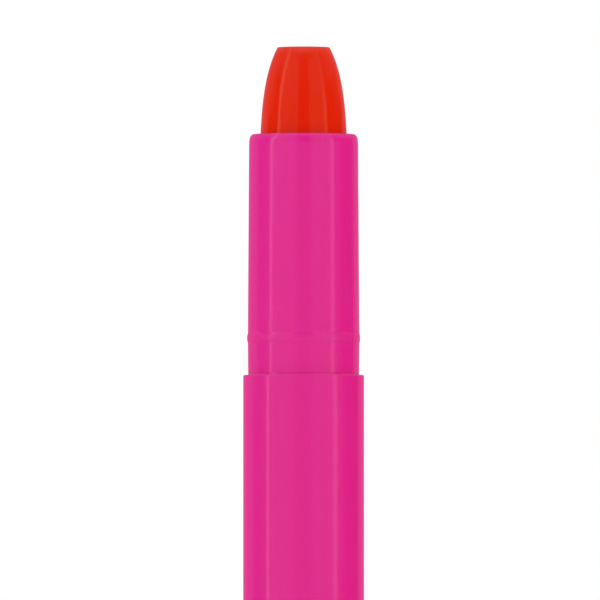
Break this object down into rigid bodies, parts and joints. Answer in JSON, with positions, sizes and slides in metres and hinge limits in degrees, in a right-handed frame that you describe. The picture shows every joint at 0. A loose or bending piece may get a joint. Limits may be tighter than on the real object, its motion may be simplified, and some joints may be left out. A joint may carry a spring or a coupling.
{
  "type": "twist-up gel highlighter",
  "caption": "Twist-up gel highlighter with its cap off: a round barrel and stepped neck, a blunt gel stick and a fluted rear knob whose screw feeds the stick in and out.",
  "frame": {"origin": "centre of the flat rear face that the highlighter stands on", "axes": "+Z along the barrel's axis, from the rear face to the writing tip"},
  "size_m": [0.014, 0.014, 0.132],
  "materials": {
    "pink_plastic": "smooth moulded plastic, satin gloss",
    "red_gel": "smooth cast gel, slightly waxy",
    "white_plastic": "natural moulded plastic",
    "black_rubber": "plain rubber"
  },
  "bodies": {
    "barrel": {"outer_barrel": "pink_plastic", "front_sleeve": "pink_plastic"},
    "knob": {"twist_knob": "pink_plastic", "end_plug": "pink_plastic", "drive_screw": "white_plastic", "drag_ring": "black_rubber"},
    "stick": {"gel_stick": "red_gel", "stick_cup": "white_plastic", "push_rod": "white_plastic"}
  },
  "joints": [
    {"name": "knob_turn", "type": "hinge", "parent": "barrel", "child": "knob", "pos_m": [0, 0, 0.01985], "axis": [0, 0, 1], "range_deg": [-999, 3123]},
    {"name": "stick_feed", "type": "slide", "parent": "barrel", "child": "stick", "axis": [0, 0, 1], "range_m": [-0.01111, 0.03471]}
  ],
  "couplings": [
    {"joint": "stick_feed", "follows": "knob_turn", "m_per_rad": 0.00063662}
  ]
}
